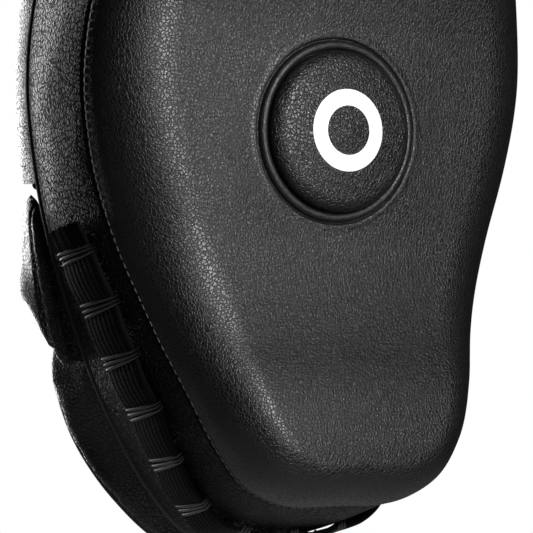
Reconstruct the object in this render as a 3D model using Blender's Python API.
"""A curved boxing focus mitt, upright, with the striking face toward -Y and the fingertips toward +Z.

The origin is the centre of the flat top of the round target. X is to the right of a person who faces
the target. Lengths below are in millimetres, and each mesh is written in metres.
"""

import math

import bmesh
import bpy
import numpy as np

for old in list(bpy.data.objects):
    bpy.data.objects.remove(old, do_unlink=True)

MM = 0.001
GAP = 0.35  # air left between two pieces that touch in the real mitt
AROUND = 48  # points around the pad

# Right half of the front seam, (x, z), from the top of the pad to its bottom.
FRONT_HALF = [(0, 122), (37, 116.5), (66, 100), (84, 76), (92, 48), (94.2, 20), (90, -9), (81.7, -37),
              (71, -66), (60, -95.5), (49.5, -118), (39, -131), (27, -137), (0, -138.8)]
# Right half of the rear seam, which lies in one plane and reaches lower than the front seam.
REAR_HALF = [(0, 123), (37, 117.5), (66, 101), (84, 77), (91.5, 48), (94.2, 18), (91.5, -10), (86, -37),
             (77.5, -64), (67.5, -90), (55.5, -114), (42.5, -134.4), (26, -151), (0, -157.5)]
# Depth of the front seam, (z, y): the pad is bent, deepest just below the target.
SEAM_DEPTH = [(-138, 11), (-112, 13.2), (-95, 17.8), (-74, 26), (-59, 30.2), (-45, 33.2), (-28, 34.7),
              (0, 33.4), (31, 29.6), (60, 25.5), (90, 20.5), (122, 15)]
# Depth of the striking face, (z, y).
FACE_DEPTH = [(-138, -15.5), (-112, -13.3), (-95, -8.8), (-74, 1), (-59, 6.2), (-40, 9.3), (-20, 9.05),
              (0, 8.5), (20, 7.95), (40, 6.9), (62, 2.5), (90, -3.5), (122, -9)]
# Width of the rounding between the seam and the flat of the face, (z, width).
CROWN_ROUNDING = [(-138, 18), (-115, 20), (-80, 25), (-40, 26), (122, 26)]
LEATHER = 2.0
REAR_SEAM = 75.0
WALL_BULGE = 2.5
REAR_PANEL_FRONT = 73.4
REAR_PANEL_BACK = 75.4
BOARD_FRONT = 62.0
BOARD_BACK = 66.0
PIPING_RADIUS = 2.2

TARGET_RING_RADIUS = 32.7
TARGET_RING_TUBE = 1.6
DOME_RADIUS = 30.4
DOME_FLAT = 22.0

HOOD_EDGE_SIDE = -18.5  # z of the open lower edge of the finger hood, at its sides
HOOD_EDGE_LIFT = 13.0  # how much higher that edge is over the back of the hand
HOOD_HEIGHT = 40.0

STRAP_LOW = -62.0
STRAP_HIGH = -24.0
STRAP_THICK = 2.0
LIFT_AXIS = (-50.3, 128.9)
PEEL_AXIS = (36.0, 131.3)

TACKS = 15
TACK_SPACING = 21.0
WEB_HALF = 10.8
# Depth of the middle of the ribbed strip, (z, y).
WEB_DEPTH = [(-160, 49), (-150, 48.5), (-138, 46), (-122, 43.2), (-104, 43.2), (-86, 46.5), (-67, 49.2),
             (-48, 53),
             (-34, 58)]
WEB_THICK = 1.8
WEB_OVERHANG = 11.0


def material(name, colour, roughness, metallic=0.0):
    made = bpy.data.materials.new(name)
    made.use_nodes = True
    shader = made.node_tree.nodes["Principled BSDF"]
    shader.inputs["Base Color"].default_value = (*colour, 1.0)
    shader.inputs["Roughness"].default_value = roughness
    shader.inputs["Metallic"].default_value = metallic
    return made


LEATHER_BLACK = material("leather_black", (0.022, 0.022, 0.024), 0.45)
LEATHER_TARGET = material("leather_target", (0.020, 0.020, 0.022), 0.40)
LEATHER_WALL = material("leather_wall", (0.030, 0.030, 0.032), 0.50)
LEATHER_BACK = material("leather_back", (0.026, 0.026, 0.028), 0.50)
LEATHER_HOOD = material("leather_hood", (0.024, 0.024, 0.026), 0.45)
PIPING_BLACK = material("piping_black", (0.016, 0.016, 0.017), 0.38)
WEBBING_BLACK = material("webbing_black", (0.020, 0.020, 0.021), 0.80)
THREAD_GREY = material("thread_grey", (0.42, 0.42, 0.43), 0.60)
LINING_BLACK = material("lining_black", (0.030, 0.030, 0.032), 0.85)
FOAM_GREY = material("foam_grey", (0.12, 0.12, 0.13), 0.90)
FOAM_DENSE = material("foam_dense", (0.05, 0.05, 0.055), 0.85)
BOARD_BLACK = material("board_black", (0.028, 0.028, 0.028), 0.50)
HOOK_BLACK = material("hook_black", (0.012, 0.012, 0.012), 0.90)
LOOP_BLACK = material("loop_black", (0.035, 0.035, 0.036), 0.95)


def add_body(name, points, faces, look, pivot=(0.0, 0.0, 0.0)):
    """One closed body from points in millimetres. Its own origin is at pivot."""
    pivot = np.array(pivot, float)
    mesh = bpy.data.meshes.new(name)
    mesh.from_pydata([tuple((np.array(p) - pivot) * MM) for p in points], [], faces)
    work = bmesh.new()
    work.from_mesh(mesh)
    bmesh.ops.recalc_face_normals(work, faces=work.faces)
    work.to_mesh(mesh)
    work.free()
    mesh.materials.append(look)
    body = bpy.data.objects.new(name, mesh)
    body.location = tuple(pivot * MM)
    bpy.context.scene.collection.objects.link(body)
    return body


def ring_faces(count, rings, closed):
    """Quads between rings of the same count. A closed run joins the last ring to the first."""
    faces = []
    spans = rings if closed else rings - 1
    for k in range(spans):
        a = k * count
        b = ((k + 1) % rings) * count
        for i in range(count):
            j = (i + 1) % count
            faces.append((a + i, a + j, b + j, b + i))
    return faces


def add_capped(name, rings, first, last, look):
    """A body from rings, closed at each end by a fan to a centre point."""
    count = len(rings[0])
    points = [tuple(p) for ring in rings for p in ring]
    faces = ring_faces(count, len(rings), False)
    start = len(points)
    points += [tuple(first), tuple(last)]
    end = (len(rings) - 1) * count
    for i in range(count):
        j = (i + 1) % count
        faces.append((start, i, j))
        faces.append((start + 1, end + j, end + i))
    return add_body(name, points, faces, look)


def add_band(name, rings, look):
    """A body from rings that come back to the first one, like a bangle."""
    points = [tuple(p) for ring in rings for p in ring]
    return add_body(name, points, ring_faces(len(rings[0]), len(rings), True), look)


def add_tube(name, path, radius, sides, closed, look, pivot=(0.0, 0.0, 0.0)):
    """A round bar along a path, with flat ends when the path is open."""
    path = np.array(path, float)
    if closed:
        along = np.roll(path, -1, axis=0) - np.roll(path, 1, axis=0)
    else:
        along = np.gradient(path, axis=0)
    along /= np.linalg.norm(along, axis=1)[:, None]
    side = np.cross(along[0], (0.13, 0.91, 0.39))
    side /= np.linalg.norm(side)
    points = []
    for spot, forward in zip(path, along):
        side = side - forward * side.dot(forward)
        side /= np.linalg.norm(side)
        other = np.cross(forward, side)
        for k in range(sides):
            turn = 2 * math.pi * k / sides
            points.append(spot + radius * (math.cos(turn) * side + math.sin(turn) * other))
    if not closed:
        faces = ring_faces(sides, len(path), False)
        faces.append(tuple(range(sides)))
        faces.append(tuple(range(len(points) - sides, len(points))))
        return add_body(name, points, faces, look, pivot)
    faces = ring_faces(sides, len(path), False)
    # The frame may come back turned, so the last ring is joined where it fits best.
    first = np.array(points[:sides])
    final = np.array(points[-sides:])
    shift = min(range(sides), key=lambda s: np.linalg.norm(np.roll(first, -s, axis=0) - final))
    start = len(points) - sides
    for i in range(sides):
        j = (i + 1) % sides
        faces.append((start + i, start + j, (j + shift) % sides, (i + shift) % sides))
    return add_body(name, points, faces, look, pivot)


def add_sheet(name, grid, below, above, look, pivot=(0.0, 0.0, 0.0), floor=-1000.0):
    """A sheet of the given thickness each side of a grid of points, with no point in front of y = floor."""
    normal = np.cross(np.gradient(grid, axis=0), np.gradient(grid, axis=1))
    normal /= np.linalg.norm(normal, axis=2)[:, :, None]
    rows, columns = grid.shape[:2]
    below = np.broadcast_to(below, (rows, columns))[:, :, None]
    above = np.broadcast_to(above, (rows, columns))[:, :, None]
    layers = [grid - normal * below, grid + normal * above]
    points = np.concatenate([layer.reshape(-1, 3) for layer in layers])
    points[:, 1] = np.maximum(points[:, 1], floor)
    top = rows * columns
    faces = []
    for i in range(rows - 1):
        for j in range(columns - 1):
            a = i * columns + j
            faces.append((a, a + 1, a + columns + 1, a + columns))
            faces.append((top + a, top + a + columns, top + a + columns + 1, top + a + 1))
    edge = [j for j in range(columns)]
    edge += [i * columns + columns - 1 for i in range(1, rows)]
    edge += [(rows - 1) * columns + j for j in range(columns - 2, -1, -1)]
    edge += [i * columns for i in range(rows - 2, 0, -1)]
    for a, b in zip(edge, edge[1:] + edge[:1]):
        faces.append((a, b, top + b, top + a))
    return add_body(name, points, faces, look, pivot)


def smooth_curve(knots, at):
    """The smooth curve through (position, value) knots, at these positions."""
    place, value = np.array(knots, float).T
    slope = np.gradient(value, place)
    at = np.clip(at, place[0], place[-1])
    i = np.clip(np.searchsorted(place, at) - 1, 0, len(place) - 2)
    span = place[i + 1] - place[i]
    t = (at - place[i]) / span
    start = (1 + 2 * t) * (1 - t) ** 2 * value[i] + t * (1 - t) ** 2 * span * slope[i]
    return start + t * t * (3 - 2 * t) * value[i + 1] + t * t * (t - 1) * span * slope[i + 1]


def seam_depth(z):
    return smooth_curve(SEAM_DEPTH, z)


def face_depth(z):
    return smooth_curve(FACE_DEPTH, z)


class Outline:
    """A closed smooth outline in x and z, read by the share of its length from the top, to the right."""

    def __init__(self, half):
        half = np.array(half, float)
        left = half[-2:0:-1] * (-1, 1)
        knots = np.concatenate([half, left])
        count = len(knots)
        dense = []
        for i in range(count):
            p0, p1, p2, p3 = (knots[(i + k) % count] for k in (-1, 0, 1, 2))
            before = np.linalg.norm(p1 - p0)
            span = np.linalg.norm(p2 - p1)
            after = np.linalg.norm(p3 - p2)
            m1 = span * ((p1 - p0) / before * span + (p2 - p1) / span * before) / (before + span)
            m2 = span * ((p2 - p1) / span * after + (p3 - p2) / after * span) / (span + after)
            for t in np.arange(0, 1, 0.05):
                a = (1 + 2 * t) * (1 - t) ** 2 * p1 + t * (1 - t) ** 2 * m1
                dense.append(a + t * t * (3 - 2 * t) * p2 + t * t * (t - 1) * m2)
        dense.append(knots[0])
        self.points = np.array(dense)
        steps = np.linalg.norm(np.diff(self.points, axis=0), axis=1)
        self.length = steps.sum()
        self.share = np.concatenate([[0.0], np.cumsum(steps)]) / self.length

    def at(self, u):
        u = np.mod(u, 1.0)
        return np.stack([np.interp(u, self.share, self.points[:, k]) for k in (0, 1)], axis=-1)

    def half_width(self, z):
        half = self.points[: len(self.points) // 2 + 1]
        return np.interp(z, half[::-1, 1], half[::-1, 0])

    def share_at(self, z):
        """Where the right half is at this height."""
        half = len(self.points) // 2 + 1
        return np.interp(z, self.points[:half, 1][::-1], self.share[:half][::-1])


FRONT = Outline(FRONT_HALF)
REAR = Outline(REAR_HALF)


def inward(points):
    """Unit steps from outline points toward the spine of the pad."""
    spine = np.stack([np.zeros(len(points)), 0.55 * points[:, 1]], axis=1)
    step = spine - points
    return step / np.linalg.norm(step, axis=1)[:, None]


def wall_points(u, depth, inset=0.0):
    """Points of the side wall's outer face at these shares and depths, moved inward by inset."""
    front = FRONT.at(u)
    rear = REAR.at(u)
    seam = seam_depth(front[:, 1])
    share = np.clip((depth - seam) / (REAR_SEAM - seam), 0, 1)
    flat = front + (rear - front) * share[:, None]
    out = WALL_BULGE * np.sin(math.pi * share) - inset
    flat = flat - inward(flat) * out[:, None]
    return np.stack([flat[:, 0], np.broadcast_to(depth, len(flat)), flat[:, 1]], axis=1)


U = np.arange(AROUND) / AROUND
CROWN_TURNS = np.radians([0, 12, 26, 42, 58, 74, 90])
PLATEAU = (0.78, 0.55, 0.3)
CENTRE = np.array([0.0, -4.0])


def crown_ring(turn, inset):
    """A ring of the crown at this turn of its rounding, moved inside the outer face by inset."""
    seam = FRONT.at(U)
    rounding = smooth_curve(CROWN_ROUNDING, seam[:, 1])
    across = inset + (rounding - inset) * (1 - math.cos(turn))
    flat = seam + inward(seam) * across[:, None]
    back = seam_depth(flat[:, 1])
    rise = (back - face_depth(flat[:, 1]) - inset) * math.sin(turn)
    return np.stack([flat[:, 0], back - rise, flat[:, 1]], axis=1)


def plateau_ring(scale, inset):
    edge = crown_ring(math.pi / 2, inset)
    flat = CENTRE + (edge[:, [0, 2]] - CENTRE) * scale
    return np.stack([flat[:, 0], face_depth(flat[:, 1]) + inset, flat[:, 1]], axis=1)


def face_centre(inset):
    return (CENTRE[0], float(face_depth(CENTRE[1])) + inset, CENTRE[1])


def crown_rings(inset):
    """Rings from the middle of the face out to the seam."""
    rings = [plateau_ring(scale, inset) for scale in PLATEAU[::-1]]
    return rings + [crown_ring(turn, inset) for turn in CROWN_TURNS[::-1]]


def build_cover():
    outer = crown_rings(0.0)
    inner = crown_rings(LEATHER)[::-1]
    add_capped("front_cover", outer + inner, face_centre(0.0), face_centre(LEATHER), LEATHER_BLACK)


def filler_back(offset, inset):
    """Rings across the inside of the pad behind the seam surface, from the wall to the middle."""
    seam = FRONT.at(U)
    rim = seam + inward(seam) * inset
    rings = []
    for scale in (1.0,) + PLATEAU:
        flat = CENTRE + (rim - CENTRE) * scale
        rings.append(np.stack([flat[:, 0], seam_depth(flat[:, 1]) + offset, flat[:, 1]], axis=1))
    middle = (CENTRE[0], float(seam_depth(CENTRE[1])) + offset, CENTRE[1])
    return rings, middle


def build_front_foam():
    inset = LEATHER + 1.6
    back, middle = filler_back(2.0, inset)
    add_capped("front_foam", crown_rings(inset) + back, face_centre(inset), middle, FOAM_GREY)


def build_core_foam():
    front, middle = filler_back(3.4, LEATHER + GAP + 0.3)
    sides = []
    for share in (0.35, 0.7, 1.0):
        seam = seam_depth(FRONT.at(U)[:, 1]) + 2.0
        depth = seam + (BOARD_FRONT - GAP - seam) * share
        sides.append(wall_points(U, depth, LEATHER + GAP + 0.3))
    add_capped("core_foam", front[::-1] + sides, middle, (0.0, BOARD_FRONT - GAP, CENTRE[1]), FOAM_DENSE)


def build_slab(name, near, far, inset, look):
    rings = [wall_points(U, np.full(AROUND, depth), inset) for depth in (near, far)]
    add_capped(name, rings, (0.0, near, CENTRE[1]), (0.0, far, CENTRE[1]), look)


def build_side_wall():
    rings = []
    seam = seam_depth(FRONT.at(U)[:, 1]) + 0.6
    shares = (0.0, 0.25, 0.5, 0.75, 1.0)
    end = REAR_PANEL_FRONT - 0.8
    for share in shares:
        rings.append(wall_points(U, seam + (end - seam) * share))
    for share in shares[::-1]:
        rings.append(wall_points(U, seam + (end - seam) * share, LEATHER))
    add_band("side_wall", rings, LEATHER_WALL)


def build_rear_piping():
    flat = REAR.at(np.arange(64) / 64)
    flat = flat + inward(flat) * 1.0
    path = np.stack([flat[:, 0], np.full(64, REAR_SEAM), flat[:, 1]], axis=1)
    add_tube("rear_piping", path, PIPING_RADIUS, 6, True, PIPING_BLACK)


def build_target():
    turns = 2 * math.pi * np.arange(36) / 36
    circle = np.stack([np.sin(turns), np.cos(turns)], axis=1)

    def circle_at(radius, depth):
        flat = circle * radius
        return np.stack([flat[:, 0], depth(flat[:, 1]), flat[:, 1]], axis=1)

    def flat_at(value):
        return lambda z: np.full(len(z), value)

    def seat(lift):
        return lambda z: face_depth(z) - lift

    base = 0.6
    skin = 1.8
    rounding = DOME_RADIUS - DOME_FLAT
    outer = []
    inner = []
    for turn in np.radians([0, 22, 45, 67, 90]):
        radius = DOME_FLAT + rounding * math.sin(turn)
        drop = 5.5 * (1 - math.cos(turn))
        outer.append(circle_at(radius, flat_at(drop)))
        inner.append(circle_at(radius - skin * math.sin(turn), flat_at(drop + skin * math.cos(turn))))
    outer.append(circle_at(DOME_RADIUS, seat(base)))
    inner.append(circle_at(DOME_RADIUS - skin, seat(base)))
    add_capped("target_cap", outer + inner[::-1], (0, 0, 0), (0, skin, 0), LEATHER_TARGET)
    foam = []
    for turn in np.radians([0, 30, 60, 90]):
        radius = DOME_FLAT + (rounding - skin - GAP) * math.sin(turn)
        foam.append(circle_at(radius, flat_at(5.5 - (5.5 - skin - GAP) * math.cos(turn))))
    foam[-1] = circle_at(DOME_RADIUS - skin - GAP, flat_at(5.2))
    foam.append(circle_at(DOME_RADIUS - skin - GAP, seat(base)))
    foam.append(circle_at(12.0, seat(base)))
    add_capped("target_foam", foam, (0, skin + GAP, 0), (0, float(face_depth(0.0)) - base, 0), FOAM_GREY)
    path = circle_at(TARGET_RING_RADIUS, seat(TARGET_RING_TUBE + 0.8))
    add_tube("target_ring", path, TARGET_RING_TUBE, 6, True, PIPING_BLACK)


def hood_grid(columns, rows, inset):
    """Points of the finger hood, moved toward the hand by inset. Columns run left to right."""
    low = REAR.share_at(HOOD_EDGE_SIDE)
    corner = low * 0.45
    up = 1 - (1 - np.linspace(0, 1, rows)) ** 1.8
    across = np.linspace(-1, 1, columns)
    across = np.sign(across) * (1 - (1 - np.abs(across)) ** 1.8)

    def rim(u):
        flat = REAR.at(u)
        return flat + inward(flat) * (3.6 + inset)

    right = rim(low + (corner - low) * up)
    left = right * (-1, 1)
    top = rim(corner * across)
    bottom = left[0] + (right[0] - left[0]) * ((across + 1) / 2)[:, None]
    bottom[:, 1] += HOOD_EDGE_LIFT * (1 - across**2)
    a = ((across + 1) / 2)[:, None, None]
    b = up[None, :, None]
    flat = (1 - a) * left[None] + a * right[None] + (1 - b) * bottom[:, None] + b * top[:, None]
    corners = (1 - a) * (1 - b) * left[0] + a * (1 - b) * right[0]
    corners = corners + (1 - a) * b * left[-1] + a * b * right[-1]
    flat = flat - corners
    # Height over the rear panel: steep at the rim, then a broad dome over the fingers.
    centre = np.array([0.0, HOOD_EDGE_SIDE])
    away = flat - centre
    angle = np.arctan2(away[..., 0], away[..., 1])
    edge = rim(np.linspace(-low, low, 120)) - centre
    reach = np.interp(angle, np.arctan2(edge[:, 0], edge[:, 1]), np.linalg.norm(edge, axis=1))
    share = np.clip(np.linalg.norm(away, axis=2) / reach, 0, 1)
    height = (HOOD_HEIGHT - inset) * (1 - share**4.6) ** 0.45
    depth = REAR_PANEL_BACK + GAP + height
    # Near the rim the hood bellies out over the piping.
    rise = np.clip((height - 3.0) / 6, 0, 1)
    swell = 2.4 * rise * rise * (3 - 2 * rise)
    out = away / np.maximum(np.linalg.norm(away, axis=2), 1)[..., None]
    flat = flat + out * (swell * np.clip((share - 0.55) / 0.4, 0, 1))[..., None]
    return np.stack([flat[..., 0], depth, flat[..., 1]], axis=2)


def build_hood():
    shell = hood_grid(25, 13, 0.0)
    add_sheet("finger_hood", shell, 0.0, 3.2, LEATHER_HOOD, floor=REAR_PANEL_BACK + GAP)


def build_hood_lining():
    inner = hood_grid(25, 13, 5.4)
    add_sheet("hood_lining", inner, 0.0, 1.0, LINING_BLACK, floor=REAR_PANEL_BACK + GAP)


def build_hood_binding():
    rim = hood_grid(25, 13, 1.6)[:, 0]
    inside = rim[4:-4].copy()
    inside[:, 2] -= 2.0 + GAP
    add_tube("hood_binding", inside, 1.9, 6, False, PIPING_BLACK)


def wing_grid(side, rows, columns):
    """Middle surface of a side wing, from its root at the pad to its rear edge, top to bottom."""
    t = np.linspace(0, 1, rows)
    root_z = -29 - 57.5 * t
    root = np.stack([-(REAR.half_width(root_z) - 4.5), np.full(rows, 80.3), root_z], axis=1)
    flank = np.stack([-86 + 12.5 * t**1.25, 83 + 4 * t, -26 - 59 * t], axis=1)
    ridge = np.stack([-83.5 + 3 * t, 91.5 + 8 * t, -22 - 43 * t], axis=1)
    shoulder = np.stack([-78.5 + 2 * t, 103.5 + 4.5 * t, -23 - 41 * t], axis=1)
    rear = np.stack([np.full(rows, -56.0), np.full(rows, 119.0), -23 - 41 * t], axis=1)
    stops = np.array([0.0, 0.2, 0.42, 0.66, 1.0])
    s = np.linspace(0, 1, columns)
    grid = np.empty((rows, columns, 3))
    for i in range(rows):
        for k in range(3):
            knots = [(stop, line[i][k]) for stop, line in zip(stops, (root, flank, ridge, shoulder, rear))]
            grid[i, :, k] = smooth_curve(knots, s)
    grid[..., 0] *= -side
    return grid


def build_wing(name, side):
    rows, columns = 9, 11
    grid = wing_grid(side, rows, columns)
    t = np.abs(np.linspace(-1, 1, rows))[:, None]
    s = np.abs(np.linspace(-1, 1, columns))[None, :]
    half = 3.2 * np.sqrt(np.clip(1.06 - t**6, 0, 1)) * np.sqrt(np.clip(1.06 - s**8, 0, 1))
    add_sheet(name, grid, half, half, LEATHER_HOOD)


CUFF_TOP = -89.6
CUFF_RADIUS = 4.8


def cuff_lines(count):
    """The inner and outer ends of the cuff's section along the pad's edge, left end to right end."""
    start = REAR.share_at(CUFF_TOP)
    u = np.linspace(1 - start, start, count)
    flat = REAR.at(u)
    out = -inward(flat)
    down = np.clip((CUFF_TOP - flat[:, 1]) / (CUFF_TOP + 156.5), 0, 1)
    flare = smooth_curve([(0, 2.0), (0.4, 6), (0.7, 6), (1, 4)], down)
    height = smooth_curve([(0, 19), (0.35, 16), (0.7, 8), (1, 3)], down)
    base = flat - out * 6.0
    tip = flat + out * (flare - CUFF_RADIUS)[:, None]
    base = np.stack([base[:, 0], np.full(count, 83.2), base[:, 1]], axis=1)
    tip = np.stack([tip[:, 0], 83.2 + height, tip[:, 1]], axis=1)
    return base, tip


def build_cuff():
    base, tip = cuff_lines(33)
    along = np.gradient(base, axis=0)
    along[:, 1] = 0
    along /= np.linalg.norm(along, axis=1)[:, None]
    rings = []
    for b, t, forward in zip(base, tip, along):
        up = (t - b) / np.linalg.norm(t - b)
        up -= forward * up.dot(forward)
        up /= np.linalg.norm(up)
        side = np.cross(forward, up)
        ring = []
        for centre, first in ((t, 0), (b, 180)):
            for turn in np.radians([first, first + 45, first + 90, first + 135, first + 180]):
                ring.append(centre + CUFF_RADIUS * (math.cos(turn) * side + math.sin(turn) * up))
        rings.append(ring)
    first = (base[0] + tip[0]) / 2
    last = (base[-1] + tip[-1]) / 2
    add_capped("wrist_cuff", rings, first, last, LEATHER_HOOD)


def build_cuff_binding():
    base, tip = cuff_lines(41)
    up = tip - base
    up /= np.linalg.norm(up, axis=1)[:, None]
    path = tip + up * (CUFF_RADIUS + 1.5 + GAP)
    add_tube("cuff_binding", path[1:-1], 1.5, 6, False, PIPING_BLACK)


def build_palm_grip():
    turns = 2 * math.pi * np.arange(28) / 28
    shape = np.stack([np.sin(turns), np.cos(turns)], axis=1)
    shape = np.sign(shape) * np.abs(shape) ** 0.8
    rings = []
    for share in (0.0, 0.25, 0.5, 0.75, 0.93):
        scale = (1 - share**2.4) ** (1 / 2.4)
        flat = shape * (38 * scale, 17 * scale)
        depth = np.full(28, REAR_PANEL_BACK + GAP + 17 * share)
        rings.append(np.stack([flat[:, 0], depth, flat[:, 1] - 46], axis=1))
    near = (0, REAR_PANEL_BACK + GAP, -46)
    add_capped("palm_grip", rings, near, (0, REAR_PANEL_BACK + GAP + 17, -46), LEATHER_BACK)


def build_webbing():
    """The ribbed strip on the side wall, held by tacks, and slack between them."""
    samples = wall_points(np.linspace(0, 1, 721), np.full(721, 47.0))
    steps = np.linalg.norm(np.diff(samples, axis=0), axis=1)
    run = np.concatenate([[0.0], np.cumsum(steps)])
    bottom = run[360]
    reach = (TACKS - 1) / 2 * TACK_SPACING
    places = bottom + np.linspace(-reach - WEB_OVERHANG, reach + WEB_OVERHANG, 4 * (TACKS + 1) + 1)
    u = np.interp(places, run, np.linspace(0, 1, 721))
    phase = (places - bottom + reach) / TACK_SPACING
    slack = np.where((phase > 0) & (phase < TACKS - 1), np.sin(math.pi * phase) ** 2, 0)
    end = np.minimum(places - places[0], places[-1] - places) / WEB_OVERHANG
    middle = smooth_curve(WEB_DEPTH, wall_points(u, np.full(len(u), 47.0))[:, 2])
    columns = []
    for across in (-WEB_HALF, 0.0, WEB_HALF):
        wall = wall_points(u, middle + across)
        flat = wall[:, [0, 2]]
        under = np.clip((-wall[:, 2] - 130) / 20, 0, 1)
        lift = GAP + 0.35 + (2.2 + 1.8 * under) * slack
        flat = flat - inward(flat) * lift[:, None]
        columns.append(np.stack([flat[:, 0], wall[:, 1], flat[:, 1]], axis=1))
    grid = np.stack(columns, axis=1)
    thick = np.where(end < 0.7, WEB_THICK * 1.8, WEB_THICK)
    normal = np.cross(np.gradient(grid, axis=0), np.gradient(grid, axis=1))
    outward = -inward(grid[:, 1][:, [0, 2]])
    facing = (normal[:, 1][:, [0, 2]] * outward).sum()
    below, above = (0.0, thick[:, None]) if facing > 0 else (thick[:, None], 0.0)
    add_sheet("side_webbing", grid, below, above, WEBBING_BLACK)
    for k in range(TACKS):
        place = bottom - reach + k * TACK_SPACING
        at = np.array([np.interp(place, run, np.linspace(0, 1, 721))])
        middle = float(smooth_curve(WEB_DEPTH, wall_points(at, np.array([47.0]))[0, 2]))
        path = []
        for depth in middle + WEB_HALF * np.linspace(-0.95, 1.05, 5):
            wall = wall_points(at, np.array([depth]))
            flat = wall[:, [0, 2]] - inward(wall[:, [0, 2]]) * (GAP + 0.35 + WEB_THICK + 0.95 + 0.4)
            path.append((flat[0, 0], depth, flat[0, 1]))
        add_tube(f"bar_tack_{k + 1:02d}", path, 0.8, 5, False, THREAD_GREY)


def strap_path(start, end, count, offset):
    """The strap's line in x and y, between two x values, moved outward by offset."""
    knots = [(-84, 110.8), (-72, 117.0), (-60, 123.3), (-50, 127.6), (-36, 130), (0, 130), (36, 130),
             (50, 128.9), (61.5, 125.2), (72, 120.0), (84, 113.8)]
    x = np.linspace(start, end, count)
    y = smooth_curve(knots, x)
    slope = np.gradient(smooth_curve(knots, np.linspace(-84, 84, 500)), np.linspace(-84, 84, 500))
    slope = np.interp(x, np.linspace(-84, 84, 500), slope)
    size = np.sqrt(1 + slope**2)
    return np.stack([x - offset * slope / size, y + offset / size], axis=1)


def add_strip(name, start, end, count, offset, low, high, thick, look, pivot=(0.0, 0.0, 0.0)):
    line = strap_path(start, end, count, offset)
    rows = [np.stack([line[:, 0], line[:, 1], np.full(count, z)], axis=1) for z in (low, high)]
    grid = np.stack(rows, axis=1)
    add_sheet(name, grid, thick / 2, thick / 2, look, pivot)


def build_strap():
    middle = (STRAP_LOW + STRAP_HIGH) / 2
    lift = (*LIFT_AXIS, middle)
    peel = (*PEEL_AXIS, middle)
    edges = (STRAP_LOW, STRAP_HIGH, STRAP_THICK, WEBBING_BLACK)
    add_strip("strap_anchor", -71, LIFT_AXIS[0] - 0.3, 9, 0, *edges)
    add_strip("wrist_strap", LIFT_AXIS[0] + 0.3, PEEL_AXIS[0] - 0.3, 15, 0, *edges, lift)
    add_strip("strap_tip", PEEL_AXIS[0] + 0.3, 79, 11, 0, *edges, peel)
    add_strip("hook_patch", 58.5, 76, 6, -1.85, STRAP_LOW + 3, STRAP_HIGH - 3, 1.0, HOOK_BLACK, peel)
    add_strip("loop_patch", 59, 78, 6, -3.2, STRAP_LOW + 2, STRAP_HIGH - 2, 1.0, LOOP_BLACK)


build_cover()
build_front_foam()
build_core_foam()
build_slab("back_board", BOARD_FRONT, BOARD_BACK, LEATHER + GAP + 0.3, BOARD_BLACK)
build_slab("palm_foam", BOARD_BACK + GAP, REAR_PANEL_FRONT - GAP, LEATHER + GAP + 0.3, FOAM_GREY)
build_slab("rear_panel", REAR_PANEL_FRONT, REAR_PANEL_BACK, 3.9, LEATHER_BACK)
build_side_wall()
build_rear_piping()
build_target()
build_hood()
build_hood_lining()
build_hood_binding()
build_palm_grip()
build_wing("wing_left", -1)
build_wing("wing_right", 1)
build_cuff()
build_cuff_binding()
build_webbing()
build_strap()
